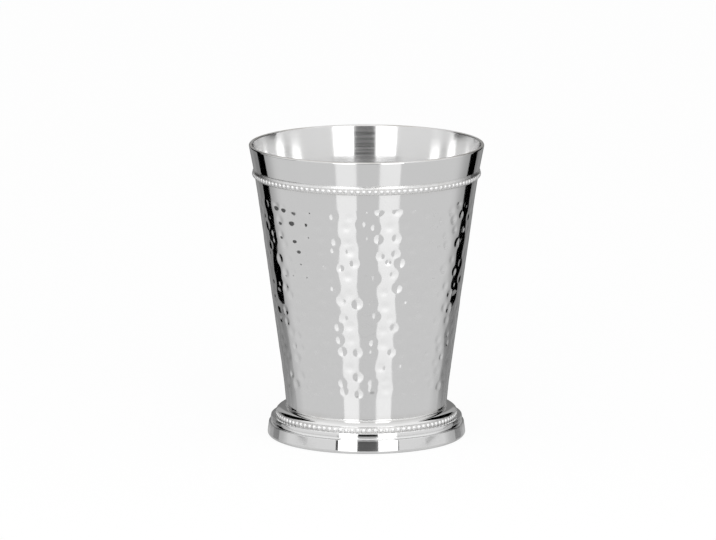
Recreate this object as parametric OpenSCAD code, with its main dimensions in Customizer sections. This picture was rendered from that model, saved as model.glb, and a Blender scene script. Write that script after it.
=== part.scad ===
// Julep cup of polished metal: a hammered, tapering body with a plain flared lip,
// a beaded wire under the lip, and a stepped foot ring with a second beaded wire.
// Sizes are in millimetres. The cup stands on the XY plane and its axis is Z.

/* [Body] */
// Height from the table to the top of the lip
cup_height = 108; // [90:0.5:130]
// Outside width of the mouth, over the rounded lip
mouth_diameter = 85.7; // [74:0.1:100]
// Thickness of the rounded lip
lip_thickness = 1.2; // [1:0.05:1.6]
// Thickness of the drawn wall
wall_thickness = 1; // [0.8:0.05:1.2]
// Height of the plain lip, from the middle of the beaded wire to the top
lip_height = 11; // [6:0.5:20]
// How far the mouth stands outside the wall at the beaded wire, on each side
lip_flare = 2; // [1.2:0.05:3]
// Height of the plain strip from the middle of the beaded wire down to the hammered zone
upper_strip_height = 6.5; // [3:0.5:14]
// How much the wall widens over that strip, on each side
upper_strip_flare = 1; // [0.2:0.05:2]
// Height of the plain strip from the foot up to the hammered zone
lower_strip_height = 8.2; // [4:0.1:16]
// How much the wall widens over that strip, on each side
lower_strip_flare = 0.8; // [0.2:0.05:1.6]
// Outside width where the body enters the foot ring
joint_diameter = 58.7; // [50:0.1:68]
// How far the wall leans in from there to the floor, on each side
base_lean_in = 0.55; // [0.1:0.05:1]
// Height of the floor's underside above the table
floor_height = 4.4; // [3.5:0.1:5]
// Thickness of the floor
floor_thickness = 1.2; // [0.8:0.1:1.6]
// Outside radius of the corner between floor and wall
corner_radius = 2; // [1.6:0.1:2.2]

/* [Beaded wire] */
// Width of one bead
bead_diameter = 2; // [1.6:0.05:2.2]
// Space between two neighbouring beads
bead_space = 0.13; // [0.05:0.01:0.4]
// How far a bead's crown stands from the flat back of the wire
bead_depth = 0.75; // [0.6:0.05:0.95]
// Thickness of the thin strip that carries the beads
strip_thickness = 0.25; // [0.15:0.05:0.4]

/* [Foot ring] */
// Height of the plain band at the bottom of the foot
band_height = 5; // [4.6:0.1:6]
// How far the bead groove's floor lies above the band
groove_rise = 2.07; // [1.9:0.01:2.4]
// How far the step's top stands above the bead groove's floor
step_lip = 0.33; // [0.2:0.01:0.45]
// How far the step's upright face lies outside the bead groove's wall
step_reach = 2.45; // [2.3:0.05:2.6]
// Width of the step's top
step_width = 1.35; // [1:0.05:1.5]
// Radius of the step's rounded edges
step_edge_radius = 0.3; // [0.15:0.05:0.4]
// Height of the dome above the bead groove
dome_height = 1.67; // [1.2:0.01:2.4]
// How far the dome's edge overhangs the bead groove's wall
dome_overhang = 0.55; // [0.3:0.05:0.7]
// Thickness of metal between the body and the bead groove
collar_width = 3.2; // [2.8:0.1:3.8]
// How far the band's top edge lies outside the bead groove's wall
band_reach = 3.15; // [3:0.05:3.4]
// How much wider the band is at its bottom edge than at its top, on each side
band_flare = 0.5; // [0.2:0.05:0.7]
// Radius of the cove between the step and the band
cove_radius = 1; // [0.8:0.05:1.1]
// Radius of the band's bottom edge
edge_radius = 1.15; // [0.8:0.05:1.3]
// Width of the band's metal at the bottom edge
rim_width = 2.7; // [2.4:0.1:3.2]
// Radius of the inner bottom edge
inner_edge_radius = 0.4; // [0.2:0.05:0.6]
// Height of the upright wall inside the foot
recess_height = 4.2; // [3.6:0.1:4.4]
// How far the underside of the collar lies above the body's rounded corner
collar_rise = 0.6; // [0.5:0.1:1]
// Width of the flat underside of that collar
collar_land = 1; // [0.6:0.1:1.4]

/* [Joints] */
// Space filled with solder between the body and what is soldered to it
solder_gap = 0.1; // [0.05:0.01:0.2]
// Size of the solder's visible fillet
solder_toe = 0.4; // [0.2:0.05:0.45]
// Clearance round the wire that lies in the foot's groove
wire_clearance = 0.03; // [0.01:0.01:0.08]

/* [Hidden] */

// Round outlines, the beads and the strip's large ball are drawn with these counts of sides
round_sides = 128;
bead_sides = 24;
ball_sides = 720;

// Heights of the foot's steps, from the table up
groove_floor = band_height + groove_rise;
step_top = groove_floor + step_lip;
groove_height = bead_diameter + 2 * wire_clearance;
groove_top = groove_floor + groove_height;
foot_height = groove_top + dome_height;
foot_bead_height = groove_floor + groove_height / 2;
collar_base_height = floor_height + corner_radius + collar_rise;

// Heights and radii of the wall's straight stretches, from the joint with the foot up
joint_radius = joint_diameter / 2;
bead_line_height = cup_height - lip_height;
bead_line_radius = mouth_diameter / 2 - lip_flare;
body_line = [
    [floor_height, joint_radius - base_lean_in],
    [foot_height, joint_radius],
    [foot_height + lower_strip_height, joint_radius + lower_strip_flare],
    [bead_line_height - upper_strip_height, bead_line_radius - upper_strip_flare],
    [bead_line_height, bead_line_radius]
];
lip_radius = lip_thickness / 2;
lip_centre = [mouth_diameter / 2 - lip_radius, cup_height - lip_radius];

// Where the body's straight wall above the bead line leans out to the lip
lip_line_top = touch_point([bead_line_radius, bead_line_height], lip_centre, lip_radius, -1);

// Lower and upper edge of the wire under the lip, and the places of its back there
lip_wire_heights = [bead_line_height - bead_diameter / 2, bead_line_height + bead_diameter / 2];
lip_wire_seats = [for (h = lip_wire_heights) body_radius(h) + solder_gap];

// Radii of the foot, outwards from the body that it hugs
bore_radius = joint_radius + solder_gap;
groove_radius = bore_radius + collar_width;
step_radius = groove_radius + step_reach;
step_edge = step_radius - step_edge_radius;
band_radius = groove_radius + band_reach;
foot_radius = band_radius + band_flare;
edge_centre = [foot_radius - edge_radius, edge_radius];
recess_radius = foot_radius - rim_width;

// The dome starts level beside the solder and passes through its lower edge
dome_start = bore_radius + solder_toe;
dome_width = groove_radius + dome_overhang - dome_start;
dome_radius = (dome_width * dome_width + dome_height * dome_height) / (2 * dome_height);

// The straight line from a point that touches a circle ends here.
// side is 1 for the touch left of the way to the circle, and -1 for the right.
function touch_point(from, centre, radius, side) =
    let (way = centre - from)
    let (reach = norm(way))
    let (turn = atan2(way[1], way[0]) + side * asin(radius / reach))
    let (length = sqrt(reach * reach - radius * radius))
    from + length * [cos(turn), sin(turn)];

// The body's outside radius at a height, up to the line that leads to the lip
function body_radius(height) =
    height <= bead_line_height
        ? lookup(height, body_line)
        : lookup(height, [body_line[len(body_line) - 1], [lip_line_top[1], lip_line_top[0]]]);

// Lean of the wall where it meets the floor
base_lean = atan2(base_lean_in, foot_height - floor_height);

// Middle of a rounded corner that touches the floor at level and the wall at inset
function corner_middle(level, inset, radius) =
    [body_radius(level + radius) - inset - radius / cos(base_lean), level + radius];

// Where that corner touches the wall
function corner_end(level, inset, radius) =
    corner_middle(level, inset, radius) + radius * [cos(base_lean), -sin(base_lean)];

// Outline of everything inside a surface that lies inset within the body's outside
module filled_body(level, inset, radius, lip_side) {
    wall = [for (place = body_line)
        if (place[0] > level + radius) [place[1] - inset, place[0]]];
    lip_start = wall[len(wall) - 1];
    middle = corner_middle(level, inset, radius);
    polygon(concat(
        [[0, level], [middle[0], level], corner_end(level, inset, radius)],
        wall,
        [touch_point(lip_start, lip_centre, lip_radius, lip_side), lip_centre,
         [0, lip_centre[1]]]));
    translate(middle)
        circle(r = radius, $fn = round_sides);
}

// Drawn cup: floor, tapering wall and rounded lip in one piece of metal
module cup_body() {
    color("silver")
    rotate_extrude($fn = round_sides) {
        difference() {
            filled_body(floor_height, 0, corner_radius, -1);
            filled_body(floor_height + floor_thickness, wall_thickness,
                corner_radius - wall_thickness / 2, 1);
        }
        translate(lip_centre)
            circle(r = lip_radius, $fn = round_sides);
    }
}

// One bead, from inside the strip to its crown, standing along X from the strip's back
module bead() {
    rotate([0, 90, 0])
    rotate_extrude($fn = bead_sides)
    intersection() {
        translate([0, bead_depth - bead_diameter / 2])
            circle(d = bead_diameter, $fn = bead_sides);
        translate([0, strip_thickness / 2])
            square(bead_diameter);
    }
}

// Beaded wire bent to a ring. Its flat back leans from low_seat to high_seat, and the
// strip's face is part of a large ball, so each bead stands square on it all the way round.
module beaded_wire(low_seat, high_seat, height) {
    low = height - bead_diameter / 2;
    high = height + bead_diameter / 2;
    seat = (low_seat + high_seat) / 2;
    lean = atan2(high_seat - low_seat, bead_diameter);
    count = round(2 * PI * (seat + bead_depth - bead_diameter / 2) / (bead_diameter + bead_space));
    rotate_extrude($fn = round_sides)
    intersection() {
        polygon([[low_seat, low], [low_seat + bead_diameter, low],
            [high_seat + bead_diameter, high], [high_seat, high]]);
        translate([0, height + seat * tan(lean)])
            circle(r = seat / cos(lean) + strip_thickness, $fn = ball_sides);
    }
    for (i = [0 : count - 1])
        rotate([0, 0, 360 * (i + 1 / 2) / count])
        translate([seat, 0, height])
        rotate([0, lean, 0])
            bead();
}

// Beaded wire round the body, with its back leaning as the wall does
module lip_bead_wire() {
    color("gainsboro")
        beaded_wire(lip_wire_seats[0], lip_wire_seats[1], bead_line_height);
}

// Solder behind that wire, with a fillet above and below its strip
module lip_bead_solder() {
    low = lip_wire_heights[0];
    high = lip_wire_heights[1];
    wall = [for (h = [low - solder_toe, low, bead_line_height, high, high + solder_toe])
        [body_radius(h), h]];
    color("lightgrey")
    rotate_extrude($fn = round_sides)
        polygon(concat(wall, [
            [lip_wire_seats[1] + strip_thickness, high],
            [lip_wire_seats[1], high],
            [lip_wire_seats[0], low],
            [lip_wire_seats[0] + strip_thickness, low]
        ]));
}

// Outline of the foot's metal, before the body's place and the groove are cut
module foot_outline() {
    band_top = [band_radius, band_height];
    cove_top = band_height + cove_radius;
    step_edge_heights = [cove_top + step_edge_radius, step_top - step_edge_radius];
    difference() {
        polygon([
            [recess_radius, inner_edge_radius],
            [recess_radius + inner_edge_radius, 0],
            [edge_centre[0], 0],
            touch_point(band_top, edge_centre, edge_radius, 1),
            band_top,
            [band_radius - cove_radius, cove_top],
            [step_edge, cove_top],
            [step_radius, step_edge_heights[0]],
            [step_radius, step_edge_heights[1]],
            [step_edge, step_top],
            [step_radius - step_width, step_top],
            [step_radius - step_width, groove_floor],
            [groove_radius, groove_floor],
            [groove_radius, groove_top],
            [dome_start, groove_top],
            [dome_start, foot_height],
            [bore_radius, foot_height],
            [body_radius(collar_base_height) + solder_gap, collar_base_height],
            [body_radius(collar_base_height) + solder_gap + collar_land, collar_base_height],
            [recess_radius, recess_height]
        ]);
        translate([band_radius, cove_top])
            circle(r = cove_radius, $fn = round_sides);
    }
    translate(edge_centre)
        circle(r = edge_radius, $fn = round_sides);
    translate([recess_radius + inner_edge_radius, inner_edge_radius])
        circle(r = inner_edge_radius, $fn = round_sides);
    for (height = step_edge_heights)
        translate([step_edge, height])
            circle(r = step_edge_radius, $fn = round_sides);
    intersection() {
        translate([dome_start, foot_height - dome_radius])
            circle(r = dome_radius, $fn = round_sides);
        translate([dome_start, groove_top])
            square([dome_radius, dome_height]);
    }
}

// Turned foot ring: dome, bead groove, rounded step, cove and flared band
module foot_ring() {
    color("silver")
    rotate_extrude($fn = round_sides)
        foot_outline();
}

// The same beaded wire, bent round the groove of the foot
module foot_bead_wire() {
    seat = groove_radius + wire_clearance;
    color("gainsboro")
        beaded_wire(seat, seat, foot_bead_height);
}

// Solder between the body and the foot's collar, with a fillet above and below
module foot_solder() {
    heights = [collar_base_height - solder_toe, collar_base_height,
               foot_height, foot_height + solder_toe];
    wall = [for (h = heights) [body_radius(h), h]];
    gap = [solder_gap, 0];
    toe = [solder_gap + solder_toe, 0];
    color("lightgrey")
    rotate_extrude($fn = round_sides)
        polygon(concat(wall, [wall[2] + toe, wall[2] + gap, wall[1] + gap, wall[1] + toe]));
}

cup_body();
lip_bead_wire();
lip_bead_solder();
foot_ring();
foot_bead_wire();
foot_solder();
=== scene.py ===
# %% [markdown]
# A hammered julep cup
#
# A julep cup is a small tapering beaker of plated metal on a low foot. Smiths spin the body from
# a flat disc, hammer it, bead a wire for the lip and the foot, and solder the pieces together.
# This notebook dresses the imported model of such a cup, so that it looks like polished metal.
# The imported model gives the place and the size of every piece. Its metal is made of coarse
# facets, which would show in a mirror finish, so each piece is turned again here in finer steps.

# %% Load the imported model
import math

import bmesh
import bpy
import numpy as np
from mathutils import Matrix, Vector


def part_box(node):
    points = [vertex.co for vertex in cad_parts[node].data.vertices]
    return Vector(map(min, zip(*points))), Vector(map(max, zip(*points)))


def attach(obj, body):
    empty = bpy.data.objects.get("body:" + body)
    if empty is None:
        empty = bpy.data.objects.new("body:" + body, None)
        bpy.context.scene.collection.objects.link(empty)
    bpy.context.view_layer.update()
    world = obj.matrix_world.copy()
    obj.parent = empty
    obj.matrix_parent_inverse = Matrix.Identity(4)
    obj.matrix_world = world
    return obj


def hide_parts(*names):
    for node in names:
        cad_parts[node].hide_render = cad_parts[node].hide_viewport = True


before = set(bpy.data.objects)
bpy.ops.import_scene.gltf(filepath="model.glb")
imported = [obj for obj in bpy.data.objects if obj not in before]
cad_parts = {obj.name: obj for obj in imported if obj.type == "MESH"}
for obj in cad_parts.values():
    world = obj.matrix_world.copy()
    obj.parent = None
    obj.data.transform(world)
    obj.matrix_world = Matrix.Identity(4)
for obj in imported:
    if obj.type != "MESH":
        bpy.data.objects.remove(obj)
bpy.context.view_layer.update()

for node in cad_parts:
    low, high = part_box(node)
    print(node, "stands from", round(low[2] * 1000, 2), "to", round(high[2] * 1000, 2), "mm")

# %% [markdown]
# Drawing on the lathe
#
# Every piece of this cup is round, so each one is an outline that turns about the cup's axis.
# An outline could be typed as a list of points, but here it is drawn as on paper: the pen is
# one vertex, a line is an extrusion of it, and an arc is a spin of it about the arc's middle.
# Sizes are written in millimetres and made metres by the value mm. A place on an outline is a
# pair: how far it lies from the axis, and how high above the table.

# %% Pen, line and arc
mm = 0.001
MERGE_WITHIN = 1e-6


def nothing_selected():
    if bpy.context.mode != "OBJECT":
        bpy.ops.object.mode_set(mode="OBJECT")
    bpy.ops.object.select_all(action="DESELECT")


def pen_down(name, x, z):
    nothing_selected()
    bpy.ops.mesh.primitive_plane_add(size=mm, location=(x * mm, 0, z * mm))
    piece = bpy.context.object
    piece.name = piece.data.name = name
    bpy.ops.object.transform_apply(location=True)
    bpy.ops.object.mode_set(mode="EDIT")
    bpy.ops.mesh.merge(type="CENTER")
    return piece


def pen_place():
    drawing = bmesh.from_edit_mesh(bpy.context.object.data)
    tip = next(v for v in drawing.verts if v.select)
    return tip.co.x / mm, tip.co.z / mm


def line_to(x, z, parts=1):
    here = pen_place()
    step = ((x - here[0]) / parts * mm, 0, (z - here[1]) / parts * mm)
    for _ in range(parts):
        bpy.ops.mesh.extrude_region_move(TRANSFORM_OT_translate={"value": step})


def arc(x, z, degrees, parts):
    """Anticlockwise about x, z, seen with X to the right and Z up."""
    bpy.ops.mesh.spin(steps=parts, angle=math.radians(degrees),
                      center=(x * mm, 0, z * mm), axis=(0, 1, 0))


# %% [markdown]
# From an outline to a turned piece
#
# The spin tool could turn the outline too, but it is slow on long outlines. A Screw modifier
# without any lift is a quicker lathe: it copies the outline round the axis and joins the copies.
# The points on the axis fall together, so they are merged before the faces are turned outwards.
# Weighted normals keep long straight stretches straight in their reflections, because they let
# the large faces decide where the light goes.

# %% Turn the outline
def turn(piece, steps):
    bpy.ops.object.mode_set(mode="OBJECT")
    bpy.ops.object.modifier_add(type="SCREW")
    lathe = piece.modifiers[-1]
    lathe.steps = lathe.render_steps = steps
    lathe.use_merge_vertices = True
    lathe.merge_threshold = MERGE_WITHIN
    bpy.ops.object.modifier_apply(modifier=lathe.name)
    bpy.ops.object.mode_set(mode="EDIT")
    bpy.ops.mesh.select_all(action="SELECT")
    bpy.ops.mesh.remove_doubles(threshold=MERGE_WITHIN)
    bpy.ops.mesh.normals_make_consistent(inside=False)
    bpy.ops.object.mode_set(mode="OBJECT")


def smooth(piece, degrees):
    nothing_selected()
    piece.select_set(True)
    bpy.context.view_layer.objects.active = piece
    bpy.ops.object.shade_smooth_by_angle(angle=math.radians(degrees))
    bpy.ops.object.modifier_add(type="WEIGHTED_NORMAL")
    weighted = piece.modifiers[-1]
    weighted.keep_sharp = True
    bpy.ops.object.modifier_apply(modifier=weighted.name)


def report(piece):
    faces = piece.data.polygons
    triangles = sum(len(f.vertices) - 2 for f in faces)
    size = [round(s * 1000, 2) for s in piece.dimensions]
    print(piece.name, "has", len(faces), "faces,", triangles, "triangles and measures", size)


# %% [markdown]
# Sizes of the cup body
#
# The body is one skin of metal: floor, rounded corner, tapering wall and a rounded lip. Seen from
# the side its wall is five straight lines, each leaning out a little more than the one below. So
# the four places where they meet and the round of the lip say nearly all of it, and the leans
# are worked out from them. JOINT is the upper end of the foot's joint, the two ZONE values are
# the ends of the hammering, BEADS is the line of beads and LIP the middle of the lip's rounding.

# %% Sizes of the body
FLOOR = 4.4
FLOOR_THICKNESS = 1.2
WALL = 1.0
CORNER, INNER_CORNER = 2.0, 1.5
BASE_LEAN_IN = 0.55
JOINT = (29.35, 10.8)
ZONE_LOW = (30.15, 19.0)
ZONE_HIGH = (39.85, 90.5)
BEADS = (40.85, 97.0)
LIP = (42.25, 107.4)
LIP_ROUND = 0.6


def lean(low, high):
    """Millimetres outwards for each millimetre up."""
    return (high[0] - low[0]) / (high[1] - low[1])


def lean_to_lip():
    """Lean of the line from the beads that just touches the round of the lip."""
    out, up = LIP[0] - BEADS[0], LIP[1] - BEADS[1]
    return math.tan(math.atan2(out, up) + math.asin(LIP_ROUND / math.hypot(out, up)))


def touch(middle, radius, leaning):
    """Where a line that leans outwards touches the outer side of an arc."""
    turned = math.atan(leaning)
    return middle[0] + radius * math.cos(turned), middle[1] - radius * math.sin(turned)


base_lean = BASE_LEAN_IN / (JOINT[1] - FLOOR)
lower_lean = lean(JOINT, ZONE_LOW)
zone_lean = lean(ZONE_LOW, ZONE_HIGH)
upper_lean = lean(ZONE_HIGH, BEADS)
lip_lean = lean_to_lip()


def base_wall(height):
    return JOINT[0] - (JOINT[1] - height) * base_lean


def corner_middle(radius, height, wall=0):
    """Middle of a corner's arc at this height, where the arc touches the base's wall."""
    return base_wall(height) - wall - radius * math.hypot(1, base_lean), height


print("leans from base to lip:",
      [round(v, 4) for v in (base_lean, lower_lean, zone_lean, upper_lean, lip_lean)])

# %% [markdown]
# Drawing the cup body
#
# The pen goes out along the underside of the floor, up the outer wall, over the lip, down the
# inner wall and back along the floor. The wall has soft bends at the foot and at the beads, so
# three short steps go through each of them. The hammered zone gets rows half a millimetre apart,
# which is what the hammer marks need. A ring close to each corner keeps the flat floor flat in
# its reflections.

# %% Draw and turn the body
BEND = 0.5
ROW_HEIGHT = 0.5
LIP_TURN = 181.2
FLOOR_RING = 12
OUTER_RING, INNER_RING = 26.0, 25.6
BODY_STEPS = 480


def bend(x, z, before, after):
    """Passes x, z from one lean to another in three steps. The middle one cuts the corner."""
    line_to(x - before * BEND, z - BEND)
    line_to(x + (after - before) * BEND / 8, z)
    line_to(x + after * BEND, z + BEND)


corner_turn = 90 - math.degrees(math.atan(base_lean))
outer_corner = corner_middle(CORNER, FLOOR + CORNER)
inner_floor = FLOOR + FLOOR_THICKNESS
inner_corner = corner_middle(INNER_CORNER, inner_floor + INNER_CORNER, WALL)
inner_beads = BEADS[0] - WALL
zone_rows = round((ZONE_HIGH[1] - ZONE_LOW[1]) / ROW_HEIGHT)

body = pen_down("cup_body_hammered", 0, FLOOR)
line_to(FLOOR_RING, FLOOR)
line_to(OUTER_RING, FLOOR)
line_to(outer_corner[0], FLOOR)
arc(*outer_corner, corner_turn, parts=8)
bend(*JOINT, base_lean, lower_lean)
line_to(*ZONE_LOW)
line_to(*ZONE_HIGH, parts=zone_rows)
bend(*BEADS, upper_lean, lip_lean)
line_to(*touch(LIP, LIP_ROUND, lip_lean))
arc(*LIP, LIP_TURN, parts=14)
line_to(inner_beads + lip_lean * BEND, BEADS[1] + BEND)
line_to(inner_beads, BEADS[1])
line_to(inner_beads - upper_lean * BEND, BEADS[1] - BEND)
line_to(ZONE_HIGH[0] - WALL, ZONE_HIGH[1])
line_to(ZONE_LOW[0] - WALL, ZONE_LOW[1], parts=2)
line_to(JOINT[0] - WALL, JOINT[1])
line_to(*touch(inner_corner, INNER_CORNER, base_lean))
arc(*inner_corner, -corner_turn, parts=6)
line_to(INNER_RING, inner_floor)
line_to(FLOOR_RING, inner_floor)
line_to(0, inner_floor)
turn(body, BODY_STEPS)
report(body)

# %% [markdown]
# Places of the hammer marks
#
# The smith's round hammer leaves small shallow dents in loose rows. A texture could draw them,
# but a mirror finish shows every slope, so the marks are true dents in the mesh. Each mark
# moves the points near it inwards along a smooth bowl, as a sculpting brush would.
# Most blows are wide and faint. A few land harder, and are smaller and steeper. The places are
# jittered from even rows by a seeded generator, so every run gives the same cup.

# %% Places of the marks
MARK_SPACING = 5.6
ROW_SPACING = 4.8
FIRST_ROW = 2.4
ROUND_JITTER = 0.24
LEVEL_JITTER = 1.4
SHARP_SHARE = 0.06
SHARP_REACH, SHARP_STEEPNESS = (1.2, 1.5), (0.16, 0.22)
SOFT_REACH, SOFT_STEEPNESS = (1.8, 2.5), (0.045, 0.095)
rng = np.random.default_rng(42)


def zone_wall(height):
    return ZONE_LOW[0] + (height - ZONE_LOW[1]) * zone_lean


marks = []
rows = int((ZONE_HIGH[1] - ZONE_LOW[1]) / ROW_SPACING) + 1
for row in range(rows):
    height = ZONE_LOW[1] + FIRST_ROW + row * ROW_SPACING
    count = round(math.tau * zone_wall(height) / MARK_SPACING)
    stagger = 0.5 * (row % 2)
    for i in range(count):
        turned = math.tau * (i + stagger + rng.uniform(-ROUND_JITTER, ROUND_JITTER)) / count
        level = height + rng.uniform(-LEVEL_JITTER, LEVEL_JITTER)
        if rng.random() < SHARP_SHARE:
            reach, steepness = rng.uniform(*SHARP_REACH), rng.uniform(*SHARP_STEEPNESS)
        else:
            reach, steepness = rng.uniform(*SOFT_REACH), rng.uniform(*SOFT_STEEPNESS)
        marks.append((turned, level, reach, reach * steepness))
print(len(marks), "marks in", rows, "rows")

# %% [markdown]
# Striking the hammer marks
#
# The mesh is read into an array once, all dents are added up there, and it is written back once.
# A dent is a smooth bowl with a wide, faint hollow round it, because the sheet gives way a little
# round every blow. That hollow is what makes the long reflections waver. The marks fade out at
# both ends of the hammered zone, so that the plain strips stay straight.

# %% Strike the marks
FADE = 0.8
HOLLOW_REACH, HOLLOW_DEPTH = 4.4, 0.045
ON_WALL = 0.05

points = np.zeros(len(body.data.vertices) * 3)
body.data.vertices.foreach_get("co", points)
points = points.reshape(-1, 3) / mm
radius = np.hypot(points[:, 0], points[:, 1])
angle = np.arctan2(points[:, 1], points[:, 0])
from_ends = np.minimum(points[:, 2] - ZONE_LOW[1], ZONE_HIGH[1] - points[:, 2])
fade = np.clip(from_ends / FADE, 0, 1)
in_zone = (abs(radius - zone_wall(points[:, 2])) < ON_WALL) & (fade > 0)

dent = np.zeros(len(points))
where = np.nonzero(in_zone)[0]
for turned, level, reach, depth in marks:
    near = where[abs(points[where, 2] - level) < HOLLOW_REACH]
    around = (angle[near] - turned + math.pi) % math.tau - math.pi
    off = np.hypot(around * radius[near], points[near, 2] - level)
    bowl = np.clip(1 - (off / reach) ** 2, 0, None) ** 2
    hollow = np.clip(1 - (off / HOLLOW_REACH) ** 2, 0, None) ** 2
    dent[near] += depth * bowl + HOLLOW_DEPTH * hollow
dent *= fade

points[:, 0] -= dent * np.cos(angle)
points[:, 1] -= dent * np.sin(angle)
body.data.vertices.foreach_set("co", (points * mm).ravel())
body.data.update()
smooth(body, degrees=40)
print("the deepest mark is", round(dent.max(), 3), "mm deep")

# %% [markdown]
# Foot ring
#
# The foot is turned from one ring. From the table up it has a rounded edge, a plain band, a
# cove, a step, a groove for the beaded wire and a low dome. Inside it is hollow, with a collar
# that hugs the body. Every outer edge is rounded a little, because polishing wears it round, and
# because a rounded edge catches the fine lines of light and dark that make metal look real.
# Here an edge is the radius of such a rounding, a middle is the middle of an arc, and a lean or
# a turn is in degrees.

# %% Sizes of the foot
RECESS, RECESS_ROOF = 33.6, 4.2
INNER_EDGE, OUTER_EDGE = 0.4, 1.15
FOOT_RADIUS = 36.3
BAND_LEAN, BAND_EDGE = 7.5, 0.2
BAND_TOP = (35.624, 5.0)
COVE = 0.9
STEP_UNDERSIDE, STEP_TOP = 6.0, 7.4
STEP_LEAN, STEP_EDGE = 10.3, 0.3
STEP_MIDDLE_LOW, STEP_MIDDLE_HIGH = 34.88, 34.735
STEP_INSIDE, STEP_INNER_EDGE = 33.75, 0.1
GROOVE, GROOVE_LOW, GROOVE_HIGH = 32.65, 7.07, 9.13
DOME_EDGE, DOME_EDGE_MIDDLE = 0.18, 32.817
DOME_START, DOME_MIDDLE, DOME_TURN = 29.85, 6.605, 47.6
SOLDER_GAP = 0.1
COLLAR_LOW, COLLAR_LAND = 7.0, 1.0
RING_STEPS = 288


def bore(height):
    """Radius of the collar's bore, a hair's breadth outside the base of the body."""
    return base_wall(height) + SOLDER_GAP


def leaning_in(middle, height, radius, degrees):
    """Where a face that leans in by so many degrees meets the outer side of an arc."""
    turned = math.radians(degrees)
    return middle + radius * math.cos(turned), height + radius * math.sin(turned)


# %% [markdown]
# Drawing the foot ring
#
# The pen starts inside the recess and goes round the foot anticlockwise. Hollow forms such as the
# cove are arcs of a negative angle.

# %% Draw and turn the foot
foot = pen_down("foot_ring_turned", RECESS, INNER_EDGE)
arc(RECESS + INNER_EDGE, INNER_EDGE, 90, parts=4)
line_to(FOOT_RADIUS - OUTER_EDGE, 0)
arc(FOOT_RADIUS - OUTER_EDGE, OUTER_EDGE, 90 + BAND_LEAN, parts=10)
line_to(*leaning_in(BAND_TOP[0], BAND_TOP[1] - BAND_EDGE, BAND_EDGE, BAND_LEAN))
arc(BAND_TOP[0], BAND_TOP[1] - BAND_EDGE, 90 - BAND_LEAN, parts=4)
arc(BAND_TOP[0], BAND_TOP[1] + COVE, -90, parts=8)
line_to(BAND_TOP[0] - COVE, STEP_UNDERSIDE)
line_to(STEP_MIDDLE_LOW, STEP_UNDERSIDE)
arc(STEP_MIDDLE_LOW, STEP_UNDERSIDE + STEP_EDGE, 90 + STEP_LEAN, parts=5)
line_to(*leaning_in(STEP_MIDDLE_HIGH, STEP_TOP - STEP_EDGE, STEP_EDGE, STEP_LEAN))
arc(STEP_MIDDLE_HIGH, STEP_TOP - STEP_EDGE, 90 - STEP_LEAN, parts=5)
line_to(STEP_INSIDE + STEP_INNER_EDGE, STEP_TOP)
arc(STEP_INSIDE + STEP_INNER_EDGE, STEP_TOP - STEP_INNER_EDGE, 90, parts=3)
line_to(STEP_INSIDE, GROOVE_LOW)
line_to(GROOVE, GROOVE_LOW)
line_to(GROOVE, GROOVE_HIGH)
line_to(DOME_EDGE_MIDDLE, GROOVE_HIGH)
arc(DOME_EDGE_MIDDLE, GROOVE_HIGH + DOME_EDGE, 180 - DOME_TURN, parts=7)
arc(DOME_START, DOME_MIDDLE, DOME_TURN, parts=14)
line_to(bore(JOINT[1]), JOINT[1])
line_to(bore(COLLAR_LOW), COLLAR_LOW)
line_to(bore(COLLAR_LOW) + COLLAR_LAND, COLLAR_LOW)
line_to(RECESS, RECESS_ROOF)
line_to(RECESS, INNER_EDGE)
turn(foot, RING_STEPS)
smooth(foot, degrees=35)
report(foot)

# %% [markdown]
# Solder under the lip
#
# Solder fills the hair-thin joint between the body and what sits on it. It creeps out of the
# joint and freezes as a small hollow fillet, which catches a fine line of light. Each fillet is
# a short arc about a middle outside the metal, so that it bends inwards. The one on top of the
# lip wire creeps highest, because there the solder was fed in from above. Below the wire it
# only has a small toe.

# %% Draw and turn the solder of the lip
BEAD = 1.0
STRIP = 0.25
TOE, TOE_TURN = 0.4, 91
FILLET_TOP = 99.2
FILLET_MIDDLE, FILLET_TURN = (42.846, 98.896), 45


def bead_wall(height):
    """Radius of the outer wall a little above or below the bead line."""
    return BEADS[0] + (height - BEADS[1]) * (lip_lean if height > BEADS[1] else upper_lean)


wire_low, wire_high = BEADS[1] - BEAD, BEADS[1] + BEAD
seat_low, seat_high = bead_wall(wire_low) + SOLDER_GAP, bead_wall(wire_high) + SOLDER_GAP
toe_low = bead_wall(wire_low - TOE)

lip_solder = pen_down("lip_solder_fillet", toe_low, wire_low - TOE)
line_to(bead_wall(wire_low), wire_low)
line_to(*BEADS)
line_to(bead_wall(wire_high), wire_high)
line_to(bead_wall(FILLET_TOP), FILLET_TOP)
arc(*FILLET_MIDDLE, FILLET_TURN, parts=8)
line_to(seat_high + STRIP, wire_high)
line_to(seat_high, wire_high)
line_to(seat_low, wire_low)
line_to(seat_low + STRIP, wire_low)
arc(toe_low + TOE, wire_low - TOE, TOE_TURN, parts=5)
line_to(toe_low, wire_low - TOE)
turn(lip_solder, RING_STEPS)
smooth(lip_solder, degrees=40)
report(lip_solder)

# %% [markdown]
# Solder of the foot
#
# The foot's collar is soldered to the base of the body in the same way. Its fillet fills the
# corner between the body and the dome, and a little solder runs out under the collar.

# %% Draw and turn the solder of the foot
FOOT_FILLET, FOOT_FILLET_TURN = 0.453, 88
RUN_OUT = 29.5

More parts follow.
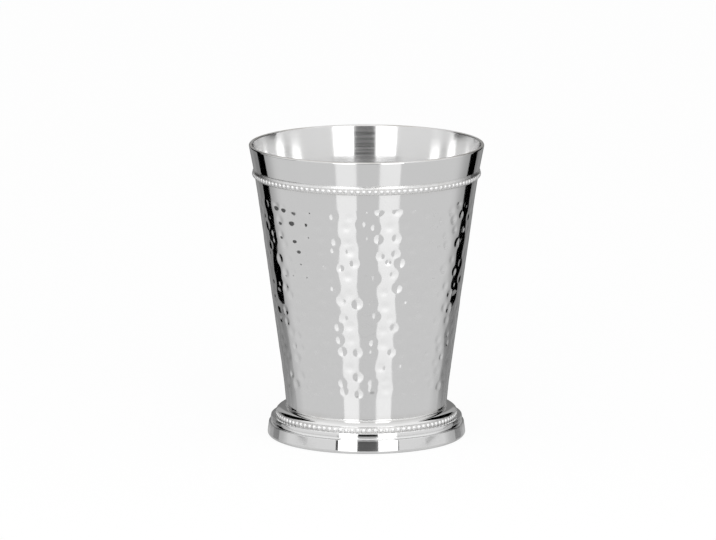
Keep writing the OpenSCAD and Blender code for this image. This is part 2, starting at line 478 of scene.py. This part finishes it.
foot_solder = pen_down("foot_solder_fillet", base_wall(COLLAR_LOW - TOE), COLLAR_LOW - TOE)
line_to(base_wall(COLLAR_LOW), COLLAR_LOW)
line_to(*JOINT)
line_to(DOME_START - FOOT_FILLET, JOINT[1] + TOE)
arc(DOME_START, JOINT[1] + TOE, FOOT_FILLET_TURN, parts=6)
line_to(bore(JOINT[1]), JOINT[1])
line_to(bore(COLLAR_LOW), COLLAR_LOW)
line_to(RUN_OUT, COLLAR_LOW)
line_to(base_wall(COLLAR_LOW - TOE), COLLAR_LOW - TOE)
turn(foot_solder, RING_STEPS)
smooth(foot_solder, degrees=40)
report(foot_solder)

# %% [markdown]
# One bead
#
# Beaded wire is rolled between two dies: a thin strip with a row of round beads on its face. One
# bead is modelled and then copied round the cup. It starts as a coarse ball with its pole
# outwards, and a bisect cuts away what lies inside the strip. Few faces are enough, because smooth
# shading rounds them and a bead is only two millimetres wide.

# %% One bead
CROWN = 0.75
CUT_SHARE = 0.8


def make_bead(name):
    nothing_selected()
    bpy.ops.mesh.primitive_uv_sphere_add(segments=12, ring_count=8, radius=BEAD * mm,
                                         location=((CROWN - BEAD) * mm, 0, 0),
                                         rotation=(0, math.pi / 2, 0))
    bead = bpy.context.object
    bead.name = bead.data.name = name
    bpy.ops.object.transform_apply(location=True, rotation=True)
    bpy.ops.object.mode_set(mode="EDIT")
    bpy.ops.mesh.select_all(action="SELECT")
    bpy.ops.mesh.bisect(plane_co=(STRIP * CUT_SHARE * mm, 0, 0), plane_no=(1, 0, 0),
                        use_fill=True, clear_inner=True)
    bpy.ops.object.mode_set(mode="OBJECT")
    print("one bead has", len(bead.data.polygons), "faces")
    return bead


# %% [markdown]
# Beads in a row
#
# Each copy of the bead gets its own mesh, is leaned to stand square on the wall, and is turned to
# its place. The beads touch the strip below them, which is turned like the other pieces.

# %% Copy the bead and turn the strip
STRIP_EDGE = 0.05
WIRE_STEPS = 240


def row_of_beads(name, seat, leaning, height, count):
    bead = make_bead(name)
    beads = [bead]
    for _ in range(1, count):
        copy = bead.copy()
        copy.data = bead.data.copy()
        bpy.context.scene.collection.objects.link(copy)
        beads.append(copy)
    for i, copy in enumerate(beads):
        around = math.tau * (i + 0.5) / count
        copy.location = (seat * mm * math.cos(around), seat * mm * math.sin(around), height * mm)
        copy.rotation_euler = (0, leaning, around)
    return beads


def turned_strip(name, low_radius, high_radius, height):
    low, high = height - BEAD, height + BEAD
    strip = pen_down(name, low_radius, low)
    line_to(low_radius + STRIP - STRIP_EDGE, low)
    line_to(low_radius + STRIP, low + STRIP_EDGE)
    line_to(high_radius + STRIP, high - STRIP_EDGE)
    line_to(high_radius + STRIP - STRIP_EDGE, high)
    line_to(high_radius, high)
    line_to(low_radius, low)
    turn(strip, WIRE_STEPS)
    return strip


# %% [markdown]
# Wire bent to a ring
#
# Strip and beads are joined to one piece. Polish never reaches between the beads, so a mesh
# attribute marks how deep each point lies. The material reads it later and darkens the crevices.

# %% Bend the wire
WIRE_CLEARANCE = 0.03
LIP_BEADS, FOOT_BEADS = 120, 96


def mark_crevices(wire, seat, leaning, height):
    place = np.zeros(len(wire.data.vertices) * 3)
    wire.data.vertices.foreach_get("co", place)
    place = place.reshape(-1, 3) / mm
    out = np.hypot(place[:, 0], place[:, 1]) - seat
    rise = out * math.cos(leaning) - (place[:, 2] - height) * math.sin(leaning)
    deep = np.clip(1 - (rise - STRIP) / (CROWN - STRIP), 0, 1)
    wire.data.attributes.new("crevice", "FLOAT", "POINT").data.foreach_set("value", deep)


def bend_wire(name, low_radius, high_radius, height, count):
    seat = (low_radius + high_radius) / 2
    leaning = math.atan2(high_radius - low_radius, 2 * BEAD)
    beads = row_of_beads(name + "_bead", seat, leaning, height, count)
    wire = turned_strip(name, low_radius, high_radius, height)
    for piece in (*beads, wire):
        piece.select_set(True)
    bpy.context.view_layer.objects.active = wire
    bpy.ops.object.join()
    smooth(wire, degrees=50)
    mark_crevices(wire, seat, leaning, height)
    report(wire)
    return wire


lip_wire = bend_wire("lip_beaded_wire", seat_low, seat_high, BEADS[1], LIP_BEADS)
groove_seat = GROOVE + WIRE_CLEARANCE
foot_wire = bend_wire("foot_beaded_wire", groove_seat, groove_seat,
                      (GROOVE_LOW + GROOVE_HIGH) / 2, FOOT_BEADS)

# %% [markdown]
# Materials from nodes
#
# All finishes are node trees, so they need no pictures and stay sharp at any size. Two helpers
# keep the trees short: one adds a node with its values and links, and one adds a noise. Patterns
# read Object coordinates, which are metres on the piece, so scales are counts in one metre.

# %% Node helpers
def add(tree, kind, values=None, links=None, **settings):
    made = tree.nodes.new(kind)
    for name, value in settings.items():
        setattr(made, name, value)
    for socket, value in (values or {}).items():
        made.inputs[socket].default_value = value
    for socket, output in (links or {}).items():
        tree.links.new(output, made.inputs[socket])
    return made


def noise(tree, scale, detail=2.0, stretch=(1, 1, 1)):
    """Noise over the piece. A large third number in stretch makes fine level rings."""
    place = add(tree, "ShaderNodeTexCoord").outputs["Object"]
    placed = add(tree, "ShaderNodeVectorMath", {1: stretch}, {0: place}, operation="MULTIPLY")
    made = add(tree, "ShaderNodeTexNoise", {"Scale": scale, "Detail": detail},
               {"Vector": placed.outputs[0]})
    return made.outputs["Fac"]


def spread(tree, value, low, high, from_low=0.35, from_high=0.65):
    """Stretches the middle of a noise, or any other range, to the range from low to high."""
    values = {"From Min": from_low, "From Max": from_high, "To Min": low, "To Max": high}
    return add(tree, "ShaderNodeMapRange", values, {"Value": value}).outputs["Result"]


def height_of(tree, place):
    return add(tree, "ShaderNodeSeparateXYZ", {}, {0: place}).outputs["Z"]


def metal(name):
    material = bpy.data.materials.new(name)
    material.use_nodes = True
    shader = material.node_tree.nodes["Principled BSDF"]
    shader.inputs["Metallic"].default_value = 1
    return material, material.node_tree, shader


# %% [markdown]
# Where silver gets dull
#
# A warm breath of tarnish stays where the polishing mop can't reach, beside the bead line and at
# the foot's joint. The top of the rim is made rougher and darker. Both can be told by a point's
# height alone, so two small helpers turn heights into amounts between 0 and 1.

# %% Height masks
SEAMS = (JOINT[1] * mm, BEADS[1] * mm)
SEAM_NEAR, SEAM_FAR = 0.8 * mm, 2.5 * mm
RIM_LOW, RIM_HIGH = (LIP[1] + 0.1) * mm, (LIP[1] + 0.4) * mm


def near_seams(tree):
    """1 at the joints of foot and wire, falling to 0 within two and a half millimetres."""
    place = add(tree, "ShaderNodeTexCoord").outputs["Object"]
    height = height_of(tree, place)
    nearest = None
    for seam in SEAMS:
        off = add(tree, "ShaderNodeMath", {1: seam}, {0: height}, operation="SUBTRACT")
        size = add(tree, "ShaderNodeMath", {}, {0: off.outputs[0]}, operation="ABSOLUTE")
        close = spread(tree, size.outputs[0], 1, 0, SEAM_NEAR, SEAM_FAR)
        if nearest:
            links = {0: nearest, 1: close}
            close = add(tree, "ShaderNodeMath", {}, links, operation="MAXIMUM").outputs[0]
        nearest = close
    return nearest


def near_rim(tree):
    """1 on the top of the rim, falling to 0 within half a millimetre."""
    place = add(tree, "ShaderNodeTexCoord").outputs["Object"]
    return spread(tree, height_of(tree, place), 0, 1, RIM_LOW, RIM_HIGH)


# %% [markdown]
# Polished silver
#
# Silver plate mirrors nearly nine tenths of the light and has next to no colour. A mirror finish
# isn't perfect: handling leaves soft smears and the polishing mop leaves faint rings. The smears
# change the roughness, the rings are a bump of about a thousandth of a millimetre, and the two
# masks above darken the colour: tarnish at the seams and a darker top of the rim.

# %% Polished silver
SILVER = (0.88, 0.88, 0.88, 1)
TARNISH = (0.60, 0.58, 0.55, 1)
SEAM_TARNISH, PLAIN_TARNISH = 0.2, 0.02
RIM_ROUGHNESS = 0.4
RING_STRETCH = (0.006, 0.006, 1)


def silver_colour(tree, shader, dirt, clean=SILVER):
    """Mixes tarnish into the clean silver by dirt, broken up by a cloudy noise."""
    cloud = spread(tree, noise(tree, scale=70, detail=4), low=0.25, high=1.0)
    amount = add(tree, "ShaderNodeMath", {}, {0: cloud, 1: dirt}, operation="MULTIPLY")
    colour = add(tree, "ShaderNodeMix", {"A": clean, "B": TARNISH},
                 {"Factor": amount.outputs[0]}, data_type="RGBA")
    tree.links.new(colour.outputs["Result"], shader.inputs["Base Color"])


def rings(tree, shader, scale, height):
    """Fine level rings of the polishing mop or the abrasive pad, as a bump."""
    lines = noise(tree, scale, stretch=RING_STRETCH)
    bump = add(tree, "ShaderNodeBump", {"Distance": height, "Strength": 1}, {"Height": lines})
    tree.links.new(bump.outputs["Normal"], shader.inputs["Normal"])


polished, tree, shader = metal("polished_silver")
dirt = add(tree, "ShaderNodeMath", {1: SEAM_TARNISH, 2: PLAIN_TARNISH}, {0: near_seams(tree)},
           operation="MULTIPLY_ADD")
# The top of the rim is made darker in colour and rougher than the rest.
rim_top = near_rim(tree)
dull = add(tree, "ShaderNodeMath", {}, {0: dirt.outputs[0], 1: rim_top}, operation="MAXIMUM")
silver_colour(tree, shader, dull.outputs[0])
smears = spread(tree, noise(tree, scale=110, detail=3), low=0.04, high=0.09)
rough = add(tree, "ShaderNodeMix", {"B": RIM_ROUGHNESS}, {"Factor": rim_top, "A": smears})
tree.links.new(rough.outputs["Result"], shader.inputs["Roughness"])
rings(tree, shader, scale=2600, height=1.2e-6)
print(polished.name, "has", len(tree.nodes), "nodes")

# %% [markdown]
# Brushed inside
#
# The inside isn't polished. An abrasive pad turned in the cup leaves fine level scratches, so
# reflections smear up and down but stay narrow from side to side. Anisotropy does that, turned by
# a quarter so that the smear runs across the scratches. A coarser bump shows some of the rings.

# %% Brushed silver
SCRATCH_STRETCH = (0.01, 0.01, 1)

brushed, tree, shader = metal("brushed_silver")
silver_colour(tree, shader, spread(tree, noise(tree, scale=30, detail=3), low=0.02, high=0.12))
scratches = noise(tree, scale=1500, stretch=SCRATCH_STRETCH)
tree.links.new(spread(tree, scratches, low=0.12, high=0.17), shader.inputs["Roughness"])
shader.inputs["Anisotropic"].default_value = 0.75
shader.inputs["Anisotropic Rotation"].default_value = 0.25
rings(tree, shader, scale=3000, height=0.8e-6)
print(brushed.name, "has", len(tree.nodes), "nodes")

# %% [markdown]
# Beads
#
# The mop only touches the crowns of the beads, and a worn, rolled surface spreads the light, so
# they look paler and softer than the mirror round them. The attribute that was stored with each
# wire says how deep a point lies. It brings in tarnish and more roughness towards the strip.

# %% Beaded silver
PALE_SILVER = (0.96, 0.96, 0.96, 1)

beaded, tree, shader = metal("beaded_silver")
crevice = add(tree, "ShaderNodeAttribute", attribute_name="crevice").outputs["Fac"]
depth = spread(tree, crevice, low=0.02, high=0.35, from_low=0.45, from_high=1.0)
silver_colour(tree, shader, depth, PALE_SILVER)
bead_roughness = spread(tree, depth, low=0.34, high=0.45, from_low=0.0, from_high=0.4)
tree.links.new(bead_roughness, shader.inputs["Roughness"])
rings(tree, shader, scale=3000, height=1.5e-6)
print(beaded.name, "has", len(tree.nodes), "nodes")

# %% [markdown]
# Solder
#
# Solder is softer than the metal beside it. It polishes less well and stays a little rough, and
# its grain shows as small clouds of tarnish.

# %% Solder silver
soldered, tree, shader = metal("solder_silver")
silver_colour(tree, shader, spread(tree, noise(tree, scale=400, detail=3), low=0.1, high=0.4))
grain = spread(tree, noise(tree, scale=700, detail=3), low=0.25, high=0.35)
tree.links.new(grain, shader.inputs["Roughness"])
rings(tree, shader, scale=2200, height=3e-6)
print(soldered.name, "has", len(tree.nodes), "nodes")

# %% [markdown]
# Dressing the pieces
#
# Every piece hides the imported node that it stands for, takes its finish as its material, and is
# parented to the one body. The cup has two finishes, so its inner faces get the second material.
# Those are the faces that look towards the axis or up, inside the lip.

# %% Dress the pieces
MARGIN = 0.1
inside_low, inside_high = inner_floor - MARGIN, LIP[1] - MARGIN
floor_high = inner_floor + MARGIN

for piece, node, material in ((body, "cup_body", polished), (foot, "foot_ring", polished),
                              (lip_wire, "lip_bead_wire", beaded),
                              (foot_wire, "foot_bead_wire", beaded),
                              (lip_solder, "lip_bead_solder", soldered),
                              (foot_solder, "foot_solder", soldered)):
    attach(piece, "root")
    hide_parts(node)
    piece.data.materials.clear()
    piece.data.materials.append(material)

body.data.materials.append(brushed)
inside = 0
for face in body.data.polygons:
    outward = face.center.x * face.normal.x + face.center.y * face.normal.y
    level = face.center.z / mm
    if inside_low < level < inside_high and (outward < 0 or level < floor_high):
        face.material_index = 1
        inside += 1
print(inside, "faces are brushed and", len(body.data.polygons) - inside, "polished")

# %% [markdown]
# Camera
#
# A long lens a little above the rim keeps the two sides of the cup nearly straight. The camera
# looks at the middle of the cup from two metres away.

# %% Camera
AIM = (-0.0031, 0, 0.061)
DISTANCE = 2.0
RISE = math.radians(10.75)
FOCAL_LENGTH, SENSOR = 275.03, 36
NEAREST, FARTHEST = 0.1, 20

lens = bpy.data.cameras.new("camera")
lens.lens, lens.sensor_width = FOCAL_LENGTH, SENSOR
lens.clip_start, lens.clip_end = NEAREST, FARTHEST
camera = bpy.data.objects.new("camera", lens)
camera.location = (AIM[0], -DISTANCE * math.cos(RISE), AIM[2] + DISTANCE * math.sin(RISE))
camera.rotation_euler = (math.pi / 2 - RISE, 0, 0)
bpy.context.scene.collection.objects.link(camera)
bpy.context.scene.camera = camera
bpy.context.scene.view_settings.view_transform = "Standard"
print("the camera stands at", [round(c, 3) for c in camera.location])

# %% [markdown]
# What the metal sees
#
# Polished metal shows nothing but its surroundings, so the studio makes the look. The room is
# white, a little brighter towards the ceiling, and it gets darker behind the cup, where no lamp
# shines. That dark back is what draws the grey edge down both sides of the cup. A light strip on
# either side of the middle of it shows inside the cup, on the wall towards the camera.
# The helper below turns a direction into that light and dark. The room and the table share it,
# each with its own list of places and levels along the way from the front to the back.

# %% Darker behind the cup
DIM = ((0.22, 1.0), (0.42, 0.6), (0.75, 0.27))
# The table's levels are painted shade on the table. The room's levels are the room's own light.
TABLE_DIM = DIM + ((0.985, 0.27), (0.995, 1.0))
ROOM_DIM = DIM + ((0.88, 0.27), (0.905, 0.5), (0.965, 0.5), (0.98, 0.27))


def darker_behind(tree, direction, levels):
    level = add(tree, "ShaderNodeVectorMath", {1: (1, 1, 0)}, {0: direction},
                operation="MULTIPLY")
    unit = add(tree, "ShaderNodeVectorMath", {}, {0: level.outputs[0]}, operation="NORMALIZE")
    back = add(tree, "ShaderNodeSeparateXYZ", {}, {0: unit.outputs[0]}).outputs["Y"]
    ramp = add(tree, "ShaderNodeValToRGB", {}, {"Fac": back})
    stops = ramp.color_ramp.elements
    while len(stops) < len(levels):
        stops.new(0.5)
    for stop, (place, grey) in zip(stops, levels):
        stop.position = place
        stop.color = (grey, grey, grey, 1)
    return ramp.outputs["Color"]


# %% [markdown]
# Room
#
# The camera has to see a plain white background, surfaces need a plain level of light, and only
# the metal should see the shaded room. A Light Path node tells these rays apart. High up the
# shading fades out, because the ceiling is white all round.

# %% Room
WALL_GREY, CEILING_GREY = 0.74, 1.0
SHADE_ENDS = (0.5, 0.75)
ROOM_LIGHT = 0.7


def by_ray(tree, camera_level, metal_level, light_level):
    """One level for the camera's rays, one for reflections and one for light on surfaces."""
    path = add(tree, "ShaderNodeLightPath")
    direct = add(tree, "ShaderNodeMath", {}, {0: path.outputs["Is Camera Ray"],
                 1: path.outputs["Is Transmission Ray"]}, operation="MAXIMUM").outputs[0]
    lit = add(tree, "ShaderNodeMix", {"A": light_level, "B": camera_level}, {"Factor": direct})
    seen = add(tree, "ShaderNodeMix", {}, {"Factor": path.outputs["Is Glossy Ray"],
               "A": lit.outputs["Result"], "B": metal_level})
    return seen.outputs["Result"]


world = bpy.data.worlds.new("room")
bpy.context.scene.world = world
world.use_nodes = True
tree = world.node_tree
background = tree.nodes["Background"]
background.inputs["Color"].default_value = (1, 1, 1, 1)
way = add(tree, "ShaderNodeTexCoord").outputs["Generated"]
up = height_of(tree, way)
wall = spread(tree, up, WALL_GREY, CEILING_GREY, 0.0, 1.0)
dim = add(tree, "ShaderNodeMix", {"B": 1.0}, {"Factor": spread(tree, up, 0, 1, *SHADE_ENDS),
          "A": darker_behind(tree, way, ROOM_DIM)}).outputs["Result"]
shaded = add(tree, "ShaderNodeMath", {}, {0: wall, 1: dim}, operation="MULTIPLY").outputs[0]
strength = by_ray(tree, camera_level=1.0, metal_level=shaded, light_level=ROOM_LIGHT)
tree.links.new(strength, background.inputs["Strength"])
print("the room has", len(tree.nodes), "nodes")

# %% [markdown]
# Table
#
# The cup stands on a glossy white table. Its own glow keeps it white for the camera, and a weak
# diffuse share on top of that glow takes the cup's shadow. The body leans in towards its foot, so
# its front mirrors the table, and the bright strips down the body are the two lamps seen in the
# gloss of the table. A Fresnel node makes the gloss stronger at a flat angle, as on real lacquer.

# %% Table
TABLE_WIDTH = 12
TABLE_GLOW, TABLE_GLOW_IN_METAL = 0.88, 0.46
TABLE_MATT = (0.15, 0.15, 0.15, 1)
GLOSS_ROUGHNESS = 0.1
LACQUER_IOR = 2.3

nothing_selected()
bpy.ops.mesh.primitive_plane_add(size=TABLE_WIDTH)
floor = bpy.context.object
floor.name = "table"
lacquer = bpy.data.materials.new("white_table")
lacquer.use_nodes = True
tree = lacquer.node_tree
tree.nodes.remove(tree.nodes["Principled BSDF"])
place = add(tree, "ShaderNodeTexCoord").outputs["Object"]
# Painted shade: in the metal the table's glow gets darker behind the cup and beside the cards,
# standing in for the shadow they would throw on the table there.
shaded = add(tree, "ShaderNodeMath", {1: TABLE_GLOW_IN_METAL},
             {0: darker_behind(tree, place, TABLE_DIM)}, operation="MULTIPLY").outputs[0]
glow_level = by_ray(tree, camera_level=TABLE_GLOW, metal_level=shaded, light_level=0.0)
glow = add(tree, "ShaderNodeEmission", {}, {"Strength": glow_level})
matt = add(tree, "ShaderNodeBsdfDiffuse", {"Color": TABLE_MATT})
white = add(tree, "ShaderNodeAddShader", {}, {0: glow.outputs[0], 1: matt.outputs[0]})
gloss = add(tree, "ShaderNodeBsdfGlossy", {"Roughness": GLOSS_ROUGHNESS, "Color": (1, 1, 1, 1)})
grazing = add(tree, "ShaderNodeFresnel", {"IOR": LACQUER_IOR}).outputs[0]
is_glossy = add(tree, "ShaderNodeLightPath").outputs["Is Glossy Ray"]
share = add(tree, "ShaderNodeMath", {}, {0: grazing, 1: is_glossy}, operation="MULTIPLY")
surface = add(tree, "ShaderNodeMixShader", {}, {0: share.outputs[0], 1: white.outputs[0],
              2: gloss.outputs[0]})
tree.links.new(surface.outputs[0], tree.nodes["Material Output"].inputs["Surface"])
floor.data.materials.append(lacquer)
print("the table is", TABLE_WIDTH, "m wide")

# %% [markdown]
# Lamps
#
# Two tall softboxes stand in front of the cup, one on either side of the camera's line of sight.
# They are the brightest thing in the metal. An area lamp's power spreads over its face, so power
# is brightness times pi times area.

# %% Softboxes
LAMP_DISTANCE, LAMP_HEIGHT = 0.7, 0.62
LAMP_BRIGHTNESS = 1.35


def softbox(name, azimuth, width):
    lamp = bpy.data.lights.new(name, "AREA")
    lamp.shape = "RECTANGLE"
    lamp.size, lamp.size_y = width, LAMP_HEIGHT
    lamp.energy = LAMP_BRIGHTNESS * math.pi * width * LAMP_HEIGHT
    box = bpy.data.objects.new(name, lamp)
    turned = math.radians(azimuth)
    box.location = (math.sin(turned) * LAMP_DISTANCE, -math.cos(turned) * LAMP_DISTANCE,
                    LAMP_HEIGHT / 2)
    box.rotation_euler = (math.pi / 2, 0, turned)
    box.visible_camera = False
    bpy.context.scene.collection.objects.link(box)
    print(name, "gives", round(lamp.energy, 2), "W")


softbox("softbox_left", azimuth=-21.2, width=0.266)
softbox("softbox_right", azimuth=24.4, width=0.27)

# %% [markdown]
# Cards
#
# Photographers put black cards beside shiny things to draw their edges. A card here is a plane
# whose corners are moved to their places, and only reflections see it. It glows in its own grey,
# and may shine a little as well. Two cards stand left and right of the cup, a little behind it,
# and give the two black strips. A black flag beside the upper half of each is seen by the dome
# of the foot alone, which looks up. The dark feet of the lamps draw a thin line beside the white
# boxes in the foot's band.

# %% Cards beside the cup
CARD_SIDE, CARD_TOP = 0.152, 0.25
FLAG_LOW = 0.08
LAMP_FOOT_TOP = 0.07
SHEEN_IOR = 1.1


def card(name, corners, grey, shines=False):
    nothing_selected()
    bpy.ops.mesh.primitive_plane_add(size=1)
    plane = bpy.context.object
    plane.name = name
    for vertex, corner in zip(plane.data.vertices, corners):
        vertex.co = corner
    paint = bpy.data.materials.new(name)
    paint.use_nodes = True
    tree = paint.node_tree
    tree.nodes.remove(tree.nodes["Principled BSDF"])
    face = add(tree, "ShaderNodeEmission", {"Color": (grey, grey, grey, 1)})
    if shines:
        gloss = add(tree, "ShaderNodeBsdfGlossy", {"Roughness": GLOSS_ROUGHNESS})
        grazing = add(tree, "ShaderNodeFresnel", {"IOR": SHEEN_IOR}).outputs[0]
        face = add(tree, "ShaderNodeMixShader", {}, {0: grazing, 1: face.outputs[0],
                   2: gloss.outputs[0]})
    tree.links.new(face.outputs[0], tree.nodes["Material Output"].inputs["Surface"])
    plane.data.materials.append(paint)
    plane.visible_camera = plane.visible_diffuse = plane.visible_shadow = False
    print(name, "shows the metal a grey of", grey)


def upright(left, right, low, high, narrower=(0, 0)):
    """Corners of an upright card, in the order of a plane's own. Its top may be narrower."""
    return ((*left, low), (*right, low), (left[0] + narrower[0], left[1], high),
            (right[0] - narrower[1], right[1], high))


def beside(side, start, end, low, high):
    """Corners of an upright card at one side of the cup, from one depth to another."""
    return upright((side * CARD_SIDE, start), (side * CARD_SIDE, end), low, high)


card("black_card_left", beside(-1, 0.124, 0.061, 0, CARD_TOP), grey=0)
card("black_card_right", beside(1, 0.072, 0.149, 0, CARD_TOP), grey=0)
card("black_flag_left", beside(-1, 0.22, 0.124, FLAG_LOW, CARD_TOP), grey=0)
card("black_flag_right", beside(1, 0.149, 0.24, FLAG_LOW, CARD_TOP), grey=0)
card("lamp_foot_left", upright((-0.412, -0.591), (-0.379, -0.604), 0, LAMP_FOOT_TOP), grey=0.05)
card("lamp_foot_right", upright((0.414, -0.58), (0.432, -0.572), 0, LAMP_FOOT_TOP), grey=0.3)

# %% [markdown]
# Ends of the room
#
# Between the lamps the metal sees the camera's end of the room: grey near the ground, dark at the
# height of the camera and pale above it. A matt sheet on the table there keeps its gloss from
# carrying that dark into the hammer marks. Two dark cards lie at the sides, where a real table
# ends and a floor begins, and show as dark dots in the uppermost marks.

# %% Cards at the ends of the room
GAP_LEFT, GAP_RIGHT = (-0.37, -1.9), (0.48, -1.9)
GAP_LOW, GAP_HIGH, GAP_TOP = 0.18, 0.58, 1.4
GAP_NARROWER = (0.09, 0.035)
ABOVE_TABLE = 0.001
SHEET = ((-0.34, -1.88), (0.43, -1.88), (-0.017, -0.12), (0.022, -0.12))
DARK_FLOOR = ((0.6, -0.22), (0.28, -0.1), (0.6, 0.35), (0.34, 0.2))

card("gap_low", upright(GAP_LEFT, GAP_RIGHT, 0, GAP_LOW), grey=0.1)
card("gap_high", upright(GAP_LEFT, GAP_RIGHT, GAP_LOW, GAP_HIGH, GAP_NARROWER), grey=0.015)
card("gap_top", upright(GAP_LEFT, GAP_RIGHT, GAP_HIGH, GAP_TOP), grey=0.78)
card("matt_sheet", [(x, y, ABOVE_TABLE) for x, y in SHEET], grey=0.62)
for side, name in ((-1, "dark_floor_left"), (1, "dark_floor_right")):
    card(name, [(side * x, y, ABOVE_TABLE) for x, y in DARK_FLOOR], grey=0.04, shines=True)
